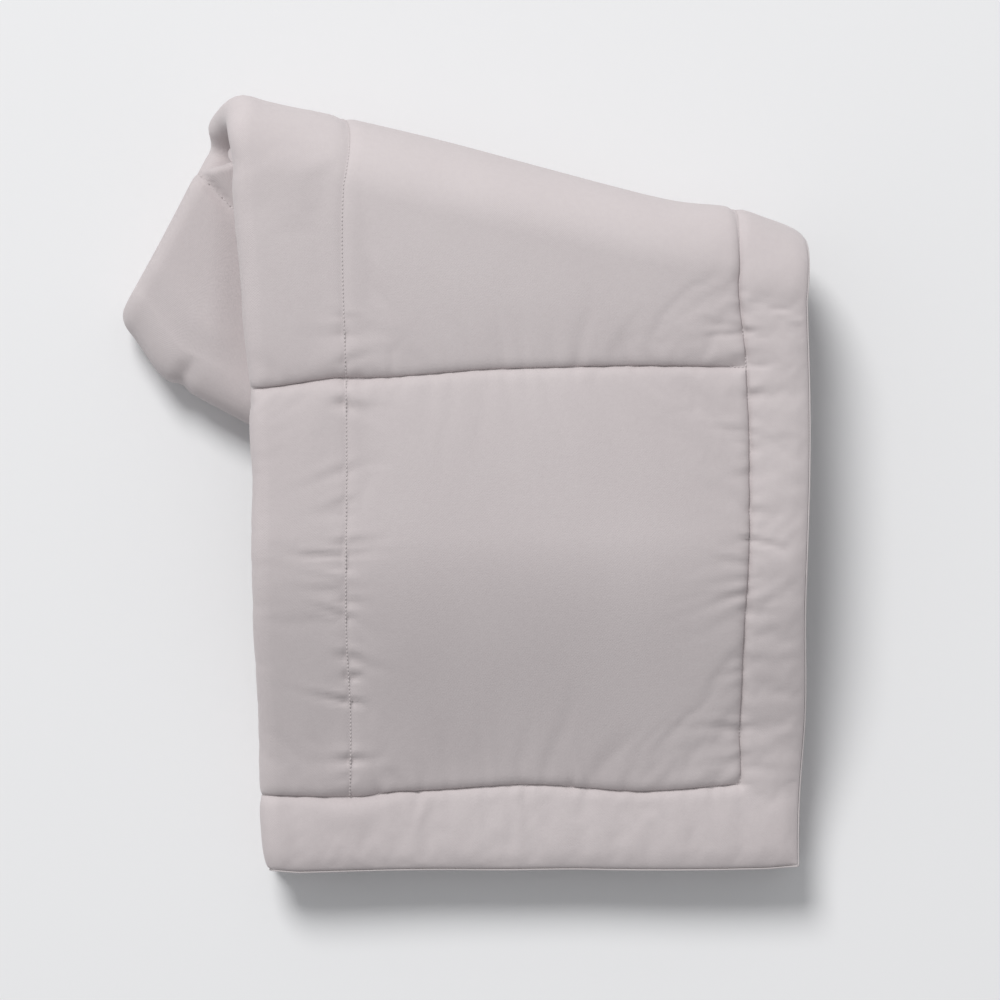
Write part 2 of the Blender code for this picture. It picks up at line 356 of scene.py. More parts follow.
def sway(points):
    # There is none of it at the floor
    x, y, z = points[..., 0], points[..., 1], points[..., 2]
    size = swayPlan["size"] * smooth(z / swayPlan["fullAt"])
    moved = points.copy()
    for axis, waves, other in ((0, swayPlan["across"], y), (1, swayPlan["along"], x)):
        (slow, phase), (steep, start) = waves
        moved[..., axis] += size * np.sin(other * slow + phase) * np.cos(z * steep + start)
    waveX, waveY, phase = swayPlan["up"]
    moved[..., 2] += size * swayPlan["upShare"] * np.sin(x * waveX + y * waveY + phase)
    return moved


# The puffed face

facePuff = {
    "gridStep": 0.0046,
    "frames": 26,
    "spare": -0.019,
    "pressure": 5.0,
    "tension": 18.0,
    "shear": 9.0,
    "bending": 0.25,
    "clothMass": 0.12,
    "quality": 6,
    "sewnWithin": 1e-4,
    "pinnedShare": 0.5,
    "quickHeight": 0.03,
    "quickReach": 0.014,
    "capHeight": 0.0135,
    "seamHeight": 0.0007,
    "seamRoll": 0.0050,
    "rollReach": 0.0038,
    "overhang": 0.0022,
    "overhangAt": 0.0040,
    "boxSeamLift": 0.0105,
    "rowCrossing": 0.010,
    "hemCrossing": 0.012,
    "liftTo": 0.50,
    "liftFade": 0.08,
    "boxSeamRoll": 0.0013,
    "boxRollReach": 0.0028,
    "bridgeReach": 0.030,
    "turnHeight": 0.0046,
    "turnHumps": ((0.0068, 0.380, 0.034), (0.0050, -0.008, 0.030)),
    "turnPinch": 0.0022,
    "turnPinches": {"box": 0.006, "side": 0.004},
    "roughStart": 0.0004,
    "seed": 11,
    "alongTo": 0.700,
    "acrossFrom": -0.030,
}


def puffGrid():
    plan = facePuff
    step = plan["gridStep"]
    seamsX = [seamPlan["box"], seamPlan["side"]]
    seamsY = [seamPlan["hem"], seamPlan["row"]]

    def spaced(low, high, seams):
        marks = [low, *seams, high]
        found = []
        for a, b in zip(marks, marks[1:]):
            count = round((b - a) / step)
            found += [a + (b - a) * k / count for k in range(count)]
        return np.array(found + [high])

    return spaced(plan["acrossFrom"], stripWidth, seamsX), spaced(0.0, plan["alongTo"], seamsY)


def gridFaces(rows, columns, flip=False):
    i, j = np.meshgrid(np.arange(rows - 1), np.arange(columns - 1), indexing="ij")
    a = (i * columns + j).ravel()
    quads = np.stack([a, a + 1, a + 1 + columns, a + columns], -1)
    return quads[:, ::-1] if flip else quads


def seamDistances(x, y):
    # Distance to each seam where it is sewn: none of them crosses a border
    beyondX = np.maximum(x - seamPlan["side"], 0)
    beyondY = np.maximum(seamPlan["hem"] - y, 0)
    return {"box": np.hypot(x - seamPlan["box"], beyondY),
            "side": np.hypot(x - seamPlan["side"], beyondY),
            "hem": np.hypot(y - seamPlan["hem"], beyondX),
            "row": np.hypot(y - seamPlan["row"], beyondX)}


def boxSeamRise(x, y):
    # The lengthwise seam beside the wide turn is shallow, except at its ends and crossings
    puff = facePuff
    firm = (np.exp(-((y - seamPlan["row"]) / puff["rowCrossing"]) ** 2)
            + np.exp(-((y - seamPlan["hem"]) / puff["hemCrossing"]) ** 2))
    fade = 1 - smooth((y - puff["liftTo"]) / puff["liftFade"])
    return puff["boxSeamLift"] * np.clip(1 - firm, 0, 1) * fade


def inflateFace():
    # The face cloth is a little larger than the seams that hold it, and fill presses it out
    plan = facePuff
    xs, ys = puffGrid()
    flatX, flatY = np.meshgrid(xs, ys)
    nearest = np.min(list(seamDistances(flatX, flatY).values()), 0)
    held = nearest < plan["sewnWithin"]
    held[0], held[-1], held[:, 0], held[:, -1] = True, True, True, True
    random = np.random.default_rng(plan["seed"])
    rough = random.uniform(0, plan["roughStart"], flatX.shape) * ~held
    onBoxSeam = seamDistances(flatX, flatY)["box"] < plan["sewnWithin"]
    rough += plan["pinnedShare"] * boxSeamRise(flatX, flatY) * onBoxSeam
    points = np.stack([flatX, flatY, rough], -1).reshape(-1, 3)
    mesh = bpy.data.meshes.new("puffTrial")
    mesh.from_pydata(points.tolist(), [], gridFaces(len(ys), len(xs)).tolist())
    trial = bpy.data.objects.new("puffTrial", mesh)
    bpy.context.scene.collection.objects.link(trial)
    group = trial.vertex_groups.new(name="held")
    group.add([int(k) for k in np.flatnonzero(held.ravel())], 1.0, "REPLACE")
    cloth = trial.modifiers.new("Cloth", "CLOTH")
    settings = cloth.settings
    settings.quality = plan["quality"]
    settings.mass = plan["clothMass"]
    settings.tension_stiffness = settings.compression_stiffness = plan["tension"]
    settings.shear_stiffness = plan["shear"]
    settings.bending_stiffness = plan["bending"]
    settings.use_pressure = True
    settings.uniform_pressure_force = plan["pressure"]
    settings.shrink_min = plan["spare"]
    settings.vertex_group_mass = "held"
    settings.effector_weights.gravity = 0.0
    cloth.collision_settings.use_collision = False
    cloth.point_cache.frame_start = 1
    cloth.point_cache.frame_end = plan["frames"]
    scene = bpy.context.scene
    for step in range(1, plan["frames"] + 1):
        scene.frame_set(step)
    shown = trial.evaluated_get(bpy.context.evaluated_depsgraph_get())
    after = np.zeros(len(points) * 3, np.float32)
    shown.data.vertices.foreach_get("co", after)
    flat = np.stack([flatX, flatY, 0 * flatX], -1)
    moved = after.reshape(flat.shape).astype(float) - flat
    bpy.data.objects.remove(trial)
    bpy.data.meshes.remove(mesh)
    scene.frame_set(1)
    return xs, ys, moved


def sample(xs, ys, values, x, y):
    # Bilinear reading of a grid
    i = np.clip(np.searchsorted(xs, x, side="right") - 1, 0, len(xs) - 2)
    j = np.clip(np.searchsorted(ys, y, side="right") - 1, 0, len(ys) - 2)
    s = np.clip((x - xs[i]) / (xs[i + 1] - xs[i]), 0, 1)[..., None]
    t = np.clip((y - ys[j]) / (ys[j + 1] - ys[j]), 0, 1)[..., None]
    return ((values[j, i] * (1 - s) + values[j, i + 1] * s) * (1 - t)
            + (values[j + 1, i] * (1 - s) + values[j + 1, i + 1] * s) * t)


farAway = 9.0   # for rows and columns that a place or distance doesn't apply to


def flatPlace(columns, rows):
    # Where each grid point of the outer leaf lies on the flat face: across, and along
    x = columns[:, 0].copy()
    turned = (columns[:, 4] > stripWidth - wideTurnX)
    x[turned] = stripWidth - columns[turned, 4]
    flatX = np.broadcast_to(x, (len(rows), len(x))).copy()
    flatY = np.full(flatX.shape, farAway)
    radius = halfGap + leafThick + topLayer
    base = np.clip(columns[:, 0], 0, stripWidth)
    for i, (kind, value, leaf) in enumerate(rows):
        if kind == "top":
            flatY[i] = value
        elif kind == "slant":
            flatY[i] = foldPlan["straightTo"] + (foldLine(base) - foldPlan["straightTo"]) * value
        elif kind == "turn":
            flatY[i] = foldLine(base) + radius * value / math.cos(foldSlope)
    return flatX, flatY


def fromHem(rows):
    return np.array([value if kind == "top" else farAway for kind, value, leaf in rows])


pucker = {
    # seam: (whether it runs lengthwise, from, to, how many)
    "rows": {"side": (True, 0.075, 0.440, 30), "box": (True, 0.065, 0.440, 34),
             "hem": (False, 0.005, 0.370, 10), "row": (False, 0.0, 0.370, 8)},
    "depth": (0.0008, 0.0021), "width": (0.0022, 0.0040), "reach": (0.008, 0.030),
    "lean": 0.35, "otherSide": 0.35, "ridge": 0.45, "clear": 0.002, "seed": 5,
}


def puckers(x, y):
    # Short creases that the sewing draws in across each seam, each with a ridge beside it
    plan = pucker
    random = np.random.default_rng(plan["seed"])
    total = np.zeros(x.shape)
    for seam, (lengthwise, start, end, count) in plan["rows"].items():
        place = seamPlan[seam]
        along, across = (y, x - place) if lengthwise else (x, y - place)
        for _ in range(count):
            at = random.uniform(start, end)
            depth, width, reach = (random.uniform(*plan[k]) for k in ("depth", "width", "reach"))
            side = random.choice((-1, 1))
            lean = random.uniform(-plan["lean"], plan["lean"])
            far = np.abs(across)
            far = np.where(np.sign(across) == side, far, far / plan["otherSide"])
            line = along - at - lean * across
            crease = np.exp(-(line / width) ** 2)
            crease -= plan["ridge"] * np.exp(-((line - 2 * width) / width) ** 2)
            total += depth * crease * np.exp(-(far / reach) ** 1.6) * smooth(far / plan["clear"])
    return total


def nearSeams(value, seams):
    return np.min(np.abs(np.asarray(value)[..., None] - np.asarray(seams)), -1)


coverPlan = {
    "step": 0.0032,
    "coarseStep": 0.012,
    "flapStep": 0.0028,
    "turnSteps": 34,
    "hiddenHeight": 0.0039,
    "hiddenPinch": 0.0010,
    "pinchReach": 0.007,
    "edgeReach": 0.0150,
    "hiddenEdgeReach": 0.0055,
    "edgeHeight": 0.0004,
    "flapTo": 0.45,
    "showTurn": 0.75,
    "showAngle": (1.5, 1.2),
    "firmAngle": 1.25,
    "rollFade": 0.012,
    "hiddenSeams": (0.361, 0.670, 0.979, 1.218),
}


def roundedEdge(distance, reach):
    # Rises from 0 at an edge to 1 at the given reach, as a quarter circle does
    return np.sqrt(np.clip(1 - (1 - np.clip(distance / reach, 0, 1)) ** 2, 0, 1))


def faceOffsets(columns, rows, puffed):
    # How far the face stands off the middle of its layer, at each grid point
    plan, puff = coverPlan, facePuff
    leafSign = np.array([leaf for kind, value, leaf in rows])
    along = columns[:, 4]
    total = along[-1]
    hidden = plan["hiddenHeight"] - (plan["hiddenHeight"] - plan["hiddenPinch"]) * np.exp(
        -(nearSeams(along, plan["hiddenSeams"]) / plan["pinchReach"]) ** 2)
    heights = np.broadcast_to(hidden, (len(rows), len(along))).copy()
    flap = np.array([leaf < 0 and kind == "under" for kind, value, leaf in rows])
    heights[np.ix_(flap, along < plan["flapTo"])] = plan["hiddenHeight"]
    xs, ys, moved = puffed
    flatX, flatY = flatPlace(columns, rows)
    read = sample(xs, ys, moved, flatX, np.minimum(flatY, ys[-1]))
    rise = np.maximum(read[..., 2], 0)
    near = seamDistances(flatX, flatY)
    bridged = boxSeamRise(flatX, flatY) * np.exp(-(near["box"] / puff["bridgeReach"]) ** 2)
    rise = (rise ** 4 + bridged ** 4) ** 0.25
    closest = np.min([near["side"], near["hem"], near["row"]], 0)
    rise = rise + puff["seamRoll"] * (1 - np.exp(-(closest / puff["rollReach"]) ** 1.4))
    rise = puff["seamHeight"] + puff["capHeight"] * (1 - np.exp(-rise / puff["capHeight"]))
    rise = rise - puff["boxSeamRoll"] * np.exp(-(near["box"] / puff["boxRollReach"]) ** 1.6)
    rise = np.maximum(rise - puckers(flatX, flatY), puff["seamHeight"])
    firm = puff["turnHeight"] + 0 * rise
    for seam, pinchReach in puff["turnPinches"].items():
        firm -= puff["turnPinch"] * np.exp(-(near[seam] / pinchReach) ** 2)
    for hump, humpAt, humpReach in puff["turnHumps"]:
        firm += hump * np.exp(-((flatX - humpAt) / humpReach) ** 2)
    angles = np.array([value if kind == "turn" else 0.0 for kind, value, leaf in rows])
    firmly = smooth(angles / plan["firmAngle"])[:, None]
    rise = rise * (1 - firmly) + firm * firmly
    # The puffed face fades into the hidden layers round the wide turn and under the fold
    pastTurn = (along - (stripWidth - wideTurnX)) / (math.pi * pitch * plan["showTurn"])
    showAcross = 1 - smooth(pastTurn)
    showAlong = np.ones(len(rows))
    for i, (kind, value, leaf) in enumerate(rows):
        if leaf < 0 or kind in ("under", "end"):
            showAlong[i] = 0
        elif kind == "turn":
            showAlong[i] = 1 - smooth((value - plan["showAngle"][0]) / plan["showAngle"][1])
    show = showAlong[:, None] * showAcross[None, :]
    heights = heights * (1 - show) + rise * show
    # Free edges close on the middle of the layer
    edge = np.minimum(along, total - along)
    reaches = plan["edgeReach"], plan["hiddenEdgeReach"]
    side = roundedEdge(edge, np.where(along < total / 2, *reaches))
    hem = roundedEdge(fromHem(rows), np.where(leafSign > 0, *reaches))
    close = side[None, :] * hem[:, None]
    heights = plan["edgeHeight"] + (heights - plan["edgeHeight"]) * close
    slide = read[..., :2] * show[..., None] * close[..., None]
    inX, inY = seamPlan["side"] - flatX, flatY - seamPlan["hem"]
    sewnX, sewnY = smooth(inX / plan["rollFade"]), smooth(inY / plan["rollFade"])
    over = rollOver(inY, near["hem"]) + rollOver(flatY - seamPlan["row"], near["row"])
    slide[..., 1] -= over * show * sewnX
    slide[..., 0] += rollOver(inX, near["side"]) * show * sewnY * (1 - firmly)
    return heights, slide


def rollOver(side, distance):
    # The fuller side of a seam rolls a little way over it
    part = distance / facePuff["overhangAt"]
    return facePuff["overhang"] * part * np.exp(1 - part) * (side > 0)


def runLengths(points, axis):
    steps = np.linalg.norm(np.diff(points, axis=axis), axis=-1)
    shape = list(points.shape[:2])
    shape[axis] = 1
    return np.concatenate([np.zeros(shape), np.cumsum(steps, axis)], axis)


def makeMesh(name, points, faces, uv=None):
    mesh = bpy.data.meshes.new(name)
    mesh.from_pydata(points.reshape(-1, 3).tolist(), [], faces.tolist())
    if uv is not None:
        layer = mesh.uv_layers.new(name="clothMetres")
        loops = np.zeros(len(mesh.loops), np.int32)
        mesh.loops.foreach_get("vertex_index", loops)
        layer.data.foreach_set("uv", uv.reshape(-1, 2)[loops].astype(np.float32).ravel())
    mesh.shade_smooth()
    mesh.validate()
    piece = bpy.data.objects.new(name, mesh)
    bpy.context.scene.collection.objects.link(piece)
    return piece


def bendWithFold(piece):
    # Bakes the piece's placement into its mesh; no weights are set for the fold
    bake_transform(piece)
    return piece


print("puffing the face")
puffed = inflateFace()
print("puff height", round(float(puffed[2][..., 2].max()) * 1000, 1), "mm")

topStations = stations(wideTurnX, stripWidth, coverPlan["step"],
                       [seamPlan["box"], seamPlan["side"]], [(stripWidth, -1)])[::-1]
faceColumns = letterColumns(topStations, coverPlan["coarseStep"])
faceRows = quiltRows(*(coverPlan[k] for k in ("step", "coarseStep", "flapStep", "turnSteps")))
faceWeights = rowBlend(faceRows)
faceHeights, faceSlide = faceOffsets(faceColumns, faceRows, puffed)


def placed(points):
    return sway(points) + quiltOrigin


# The flap is the part of the upper under leaf that the top leaves don't lie on.
flapPlan = {
    "showsFrom": -0.004,
    "showsOver": 0.035,
    "turnAngle": (1.9, 1.2),
    "pastTurn": 1.2,
    "rise": 0.0065,
    "groove": 0.95,
    "grooveReach": 0.006,
    "endShare": 0.35,
    "endReach": 0.03,
    "ramp": 0.003,
    "rampReach": 0.015,
    "sink": 0.0026,
    "sinkReach": 0.0030,
}


def raiseFlap(points, rows, columns, share=1.0, deeper=1.0, wider=1.0):
    # The flap swells, with a groove along its seam
    plan = flapPlan
    moved = points.copy()
    top = columns[:, 4] < stripWidth - wideTurnX + pitch * plan["pastTurn"]
    start = -np.clip(columns[:, 0], 0, stripWidth) * slopeTan
    full = foldPlan["underLength"] + underExtra(columns[:, 0])
    for i, (kind, value, leaf) in enumerate(rows):
        if kind not in ("under", "turn") or leaf > 0:
            continue
        under = kind == "under"
        outside = smooth((plan["showsFrom"] - points[i, :, 0]) / plan["showsOver"])
        if not under:
            outside = outside * smooth((value - plan["turnAngle"][0]) / plan["turnAngle"][1])
        length = start + (full - start) * (value if under else 0)
        fromSeam = length - underRowAt(columns[:, 0])
        groove = 1 - plan["groove"] * np.exp(-(np.abs(fromSeam) / plan["grooveReach"]) ** 1.3)
        ends = plan["endShare"] + (1 - plan["endShare"]) * smooth((full - length) / plan["endReach"])
        lift = plan["rise"] * groove * ends + plan["ramp"] * np.exp(
            -((length - start) / plan["rampReach"]) ** 2)
        sink = plan["sink"] * np.exp(-(fromSeam / (plan["sinkReach"] * wider)) ** 2) * under
        moved[i, :, 2] += (lift * share - sink * deeper) * outside * top
    return moved


facePoints = layRows(faceColumns, faceRows, faceHeights)
facePoints[..., 0] += faceSlide[..., 0]
facePoints[..., 1] += faceSlide[..., 1]
facePoints = placed(raiseFlap(facePoints, faceRows, faceColumns))
middlePoints = layRows(faceColumns, faceRows, 0 * faceHeights)
faceUv = np.stack([runLengths(middlePoints, 1), runLengths(middlePoints, 0)], -1)


def gridNormals(points):
    down = np.gradient(points, axis=0)
    over = np.gradient(points, axis=1)
    normals = np.cross(over, down)
    return normals / np.maximum(np.linalg.norm(normals, axis=-1, keepdims=True), 1e-12)


def columnAt(x):
    top = faceColumns[:, 4] <= stripWidth - wideTurnX
    return int(np.argmin(np.where(top, np.abs(faceColumns[:, 0] - x), farAway)))


def rowAt(kind, value, leaf):
    found = [abs(v - value) if (k, l) == (kind, leaf) else farAway for k, v, l in faceRows]
    return int(np.argmin(found))


# The middle of the top leaf faces upward
faceNormals = gridNormals(facePoints)
middleUp = faceNormals[rowAt("top", seamPlan["row"] / 2, 1), columnAt(stripWidth / 2), 2]
outward = 1 if middleUp > 0 else -1
faceNormals = faceNormals * outward


# Materials


def newGroup(name, inputs, outputs):
    group = bpy.data.node_groups.new(name, "ShaderNodeTree")
    for label, kind, value in inputs:
        socket = group.interface.new_socket(name=label, in_out="INPUT", socket_type=kind)
        socket.default_value = value
    for label, kind in outputs:
        group.interface.new_socket(name=label, in_out="OUTPUT", socket_type=kind)
    return group, group.nodes.new("NodeGroupInput"), group.nodes.new("NodeGroupOutput")


def addNode(tree, kind, settings=None, **inputs):
    node = tree.nodes.new(kind)
    for key, value in (settings or {}).items():
        setattr(node, key, value)
    for key, value in inputs.items():
        socket = node.inputs[int(key[2:]) if key.startswith("in") else key.replace("_", " ")]
        if isinstance(value, bpy.types.NodeSocket):
            tree.links.new(value, socket)
        else:
            socket.default_value = value
    return node


clothNoise = {"slubScale": 700.0, "slubDetail": 3.0, "patchDetail": 2.0, "napDetail": 4.0,
              "napShare": 0.45, "napShift": -0.22}


def buildWeave():
    # Plain weave from the cloth's own metres: a height, and a mask for the painted shade between
    # threads
    group, given, out = newGroup(
        "clothWeave",
        [("Vector", "NodeSocketVector", (0, 0, 0)), ("Threads", "NodeSocketFloat", 900.0),
         ("Slub", "NodeSocketFloat", 0.35)],
        [("Height", "NodeSocketFloat"), ("Mask", "NodeSocketFloat")])
    scaled = addNode(group, "ShaderNodeVectorMath", {"operation": "SCALE"},
                     in0=given.outputs["Vector"])
    group.links.new(given.outputs["Threads"], scaled.inputs["Scale"])
    split = addNode(group, "ShaderNodeSeparateXYZ", in0=scaled.outputs[0])
    warp = addNode(group, "ShaderNodeMath", {"operation": "SINE"}, in0=split.outputs["X"])
    weft = addNode(group, "ShaderNodeMath", {"operation": "SINE"}, in0=split.outputs["Y"])
    cross = addNode(group, "ShaderNodeMath", {"operation": "MULTIPLY"},
                    in0=warp.outputs[0], in1=weft.outputs[0])
    noise = addNode(group, "ShaderNodeTexNoise", {"noise_dimensions": "3D"},
                    Vector=given.outputs["Vector"], Scale=clothNoise["slubScale"],
                    Detail=clothNoise["slubDetail"])
    slub = addNode(group, "ShaderNodeMath", {"operation": "MULTIPLY"},
                   in0=noise.outputs["Fac"], in1=given.outputs["Slub"])
    height = addNode(group, "ShaderNodeMath", {"operation": "MULTIPLY_ADD"},
                     in0=cross.outputs[0], in1=0.5, in2=slub.outputs[0])
    group.links.new(height.outputs[0], out.inputs["Height"])
    mask = addNode(group, "ShaderNodeMath", {"operation": "MULTIPLY_ADD", "use_clamp": True},
                   in0=cross.outputs[0], in1=0.5, in2=0.5)
    group.links.new(mask.outputs[0], out.inputs["Mask"])
    return group


def buildMottle():
    # Slow shade changes of washed cloth, and the finer ones of its nap
    group, given, out = newGroup(
        "clothMottle",
        [("Vector", "NodeSocketVector", (0, 0, 0)), ("Dark", "NodeSocketColor", (0, 0, 0, 1)),
         ("Light", "NodeSocketColor", (1, 1, 1, 1)), ("Patch", "NodeSocketFloat", 9.0),
         ("Nap", "NodeSocketFloat", 160.0)],
        [("Color", "NodeSocketColor"), ("Fac", "NodeSocketFloat")])
    slow = addNode(group, "ShaderNodeTexNoise", {"noise_dimensions": "3D"},
                   Vector=given.outputs["Vector"], Detail=clothNoise["patchDetail"])
    group.links.new(given.outputs["Patch"], slow.inputs["Scale"])
    fine = addNode(group, "ShaderNodeTexNoise", {"noise_dimensions": "3D"},
                   Vector=given.outputs["Vector"], Detail=clothNoise["napDetail"])
    group.links.new(given.outputs["Nap"], fine.inputs["Scale"])
    both = addNode(group, "ShaderNodeMath", {"operation": "MULTIPLY_ADD"},
                   in0=fine.outputs["Fac"], in1=clothNoise["napShare"],
                   in2=clothNoise["napShift"])
    total = addNode(group, "ShaderNodeMath", {"operation": "ADD", "use_clamp": True},
                    in0=slow.outputs["Fac"], in1=both.outputs[0])
    mixed = addNode(group, "ShaderNodeMix", {"data_type": "RGBA"}, in0=total.outputs[0])
    group.links.new(given.outputs["Dark"], mixed.inputs[6])
    group.links.new(given.outputs["Light"], mixed.inputs[7])
    group.links.new(mixed.outputs[2], out.inputs["Color"])
    group.links.new(total.outputs[0], out.inputs["Fac"])
    return group


weaveGroup = buildWeave()
mottleGroup = buildMottle()


def clothMaterial(name, finish):
    material = bpy.data.materials.new(name)
    material.use_nodes = True
    tree = material.node_tree
    shader = tree.nodes["Principled BSDF"]
    place = addNode(tree, "ShaderNodeTexCoord")
    mottle = addNode(tree, "ShaderNodeGroup", {"node_tree": mottleGroup})
    tree.links.new(place.outputs["Object"], mottle.inputs["Vector"])
    mottle.inputs["Dark"].default_value = (*finish["dark"], 1)
    mottle.inputs["Light"].default_value = (*finish["light"], 1)
    mottle.inputs["Patch"].default_value = finish["patch"]
    mottle.inputs["Nap"].default_value = finish["nap"]
    weave = addNode(tree, "ShaderNodeGroup", {"node_tree": weaveGroup})
    tree.links.new(place.outputs["UV" if finish["useUv"] else "Object"], weave.inputs["Vector"])
    weave.inputs["Threads"].default_value = finish["threads"]
    weave.inputs["Slub"].default_value = finish["slub"]
    # Painted shade: the weave's mask darkens the colour between the threads
    between = addNode(tree, "ShaderNodeMix", {"data_type": "RGBA", "blend_type": "MULTIPLY"},
                      in0=finish["threadShade"])
    tree.links.new(mottle.outputs["Color"], between.inputs[6])
    shade = addNode(tree, "ShaderNodeMapRange", in0=weave.outputs["Mask"],
                    in3=finish["betweenThreads"], in4=1.0)
    tree.links.new(shade.outputs[0], between.inputs[7])
    tree.links.new(between.outputs[2], shader.inputs["Base Color"])
    spread = finish["roughnessSpread"]
    rough = addNode(tree, "ShaderNodeMapRange", in0=mottle.outputs["Fac"],
                    in3=finish["roughness"] - spread, in4=finish["roughness"] + spread)
    tree.links.new(rough.outputs[0], shader.inputs["Roughness"])
    bump = addNode(tree, "ShaderNodeBump", Height=weave.outputs["Height"])
    bump.inputs["Strength"].default_value = finish["bump"]
    bump.inputs["Distance"].default_value = finish["bumpDepth"]
    tree.links.new(bump.outputs["Normal"], shader.inputs["Normal"])
    shader.inputs["Sheen Weight"].default_value = finish["sheen"]
    shader.inputs["Sheen Roughness"].default_value = finish["sheenRoughness"]
    shader.inputs["Specular IOR Level"].default_value = finish["specular"]
    return material


brushedCloth = {
    "dark": (0.556, 0.499, 0.502), "light": (0.650, 0.594, 0.594), "patch": 7.0, "nap": 260.0,
    "threads": 5200.0, "slub": 1.2, "threadShade": 0.5, "betweenThreads": 0.82, "useUv": True,
    "roughness": 0.74, "roughnessSpread": 0.05, "bump": 0.42, "bumpDepth": 0.0004,
    "sheen": 0.18, "sheenRoughness": 0.45, "specular": 0.28,
}
faceCloth = clothMaterial("brushedFaceCloth", brushedCloth)
backCloth = clothMaterial("brushedBackCloth", {
    **brushedCloth, "dark": (0.520, 0.470, 0.473), "light": (0.610, 0.560, 0.560)})
fillCloth = clothMaterial("fleecyFill", {
    **brushedCloth, "dark": (0.78, 0.78, 0.76), "light": (0.90, 0.90, 0.88), "useUv": False,
    "threads": 900.0, "roughness": 0.92, "bump": 0.6, "bumpDepth": 0.0012, "sheen": 0.05})
sewingThread = clothMaterial("quiltingThread", {
    **brushedCloth, "dark": (0.55, 0.50, 0.50), "light": (0.66, 0.61, 0.607), "useUv": False,
    "threads": 6000.0, "roughness": 0.58, "bump": 0.5, "bumpDepth": 0.0002, "sheen": 0.10})
# The rolled edge is a lighter copy of the face cloth: a painted highlight along the sewn edges
edgeHighlightCloth = clothMaterial("rolledEdgeCloth", {
    **brushedCloth, "dark": (0.58, 0.53, 0.53), "light": (0.68, 0.63, 0.627), "useUv": False,
    "threads": 4800.0, "roughness": 0.70})

# Covers and fill

bodyNodes = ("top_leaf", "second_leaf", "outer_turn", "inner_turn", "under_leaves")

print("laying the face cover")
flipFace = outward < 0
faceCover = makeMesh("quilt_face_cover", facePoints,
                     gridFaces(len(faceRows), len(faceColumns), flipFace), faceUv)
faceCover.data.materials.append(faceCloth)
bendWithFold(faceCover)
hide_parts(*["face_fabric_" + n for n in bodyNodes])

print("laying the back cover and the fill")
hiddenPlan = {"backOut": 0.0036, "backSeam": 0.0008, "backEdge": 0.0003,
              "fillShare": 0.60, "fillBack": 0.75, "underFace": 0.0004, "overBack": 0.0001,
              "leastFill": 0.0001, "underGrooves": 4, "overSeams": 2,
              "flapShare": 0.4, "flapDeeper": 2.0, "flapWider": 3.0}


def everyOther(count):
    return np.unique(np.r_[np.arange(0, count, 2), 1, count - 2, count - 1])


otherColumns, otherRows = everyOther(len(faceColumns)), everyOther(len(faceRows))
backColumns = faceColumns[otherColumns]
backRows = [faceRows[k] for k in otherRows]


def backOffsets():
    # How far the back lies off the middle of its layer, at each grid point
    plan = hiddenPlan
    along, hemAt = backColumns[:, 4], fromHem(backRows)
    seams = [stripWidth - seamPlan["side"], *coverPlan["hiddenSeams"]]
    pinch = np.exp(-(nearSeams(along, seams) / coverPlan["pinchReach"]) ** 2)
    depth = plan["backOut"] - (plan["backOut"] - plan["backSeam"]) * pinch
    rowSeams = nearSeams(hemAt, [seamPlan["hem"], seamPlan["row"]])
    rowPinch = np.exp(-(rowSeams / coverPlan["pinchReach"]) ** 2)
    depth = depth - (depth - plan["backSeam"]) * rowPinch[:, None]
    reach = coverPlan["hiddenEdgeReach"]
    side = roundedEdge(np.minimum(along, along[-1] - along), reach)
    hem = roundedEdge(hemAt, reach)[:, None]
    return plan["backEdge"] + (depth - plan["backEdge"]) * side * hem


backDepth = backOffsets()
backPoints = placed(layRows(backColumns, backRows, -backDepth))
backUv = faceUv[np.ix_(otherRows, otherColumns)]
backCover = makeMesh("quilt_back_cover", backPoints,
                     gridFaces(len(backRows), len(backColumns), not flipFace), backUv)
backCover.data.materials.append(backCloth)
bendWithFold(backCover)
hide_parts(*["back_fabric_" + n for n in bodyNodes])


def closeGrid(rows, columns, flip):
    # Two grids of the same size, joined all the way round their rim
    count = rows * columns
    first, second = gridFaces(rows, columns, flip), gridFaces(rows, columns, not flip) + count
    rim = ([(0, j) for j in range(columns)] + [(i, columns - 1) for i in range(1, rows)]
           + [(rows - 1, j) for j in range(columns - 2, -1, -1)]
           + [(i, 0) for i in range(rows - 2, -1, -1)])
    rim = np.array([i * columns + j for i, j in rim])
    sides = np.stack([rim[:-1], rim[:-1] + count, rim[1:] + count, rim[1:]], -1)
    return np.concatenate([first, second, sides if flip else sides[:, ::-1]])


def lowestNear(values, reach):
    # The lowest of each value's neighbours, so that the fill keeps under every groove
    padded = np.pad(values, reach, mode="edge")
    rows, columns = values.shape
    return np.min([padded[i:i + rows, j:j + columns] for i in range(2 * reach + 1)
                   for j in range(2 * reach + 1)], 0)


thinned = lowestNear(faceHeights, hiddenPlan["underGrooves"])[np.ix_(otherRows, otherColumns)]
upperFill = thinned * hiddenPlan["fillShare"] - hiddenPlan["underFace"]
lowerFill = lowestNear(backDepth, hiddenPlan["overSeams"]) * hiddenPlan["fillBack"]
lowerFill = np.maximum(lowerFill - hiddenPlan["overBack"], hiddenPlan["leastFill"] - upperFill)
fillUpper = raiseFlap(layRows(backColumns, backRows, upperFill), backRows, backColumns,
                      *(hiddenPlan[k] for k in ("flapShare", "flapDeeper", "flapWider")))
fillLower = layRows(backColumns, backRows, -lowerFill)
fillPoints = np.concatenate([placed(fillUpper)[1:-1, 1:-1].reshape(-1, 3),
                             placed(fillLower)[1:-1, 1:-1].reshape(-1, 3)])
fill = makeMesh("quilt_fill", fillPoints,
                closeGrid(len(backRows) - 2, len(backColumns) - 2, flipFace))
fill.data.materials.append(fillCloth)
bendWithFold(fill)
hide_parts(*["fill_sheet_" + n for n in bodyNodes])

# Stitching

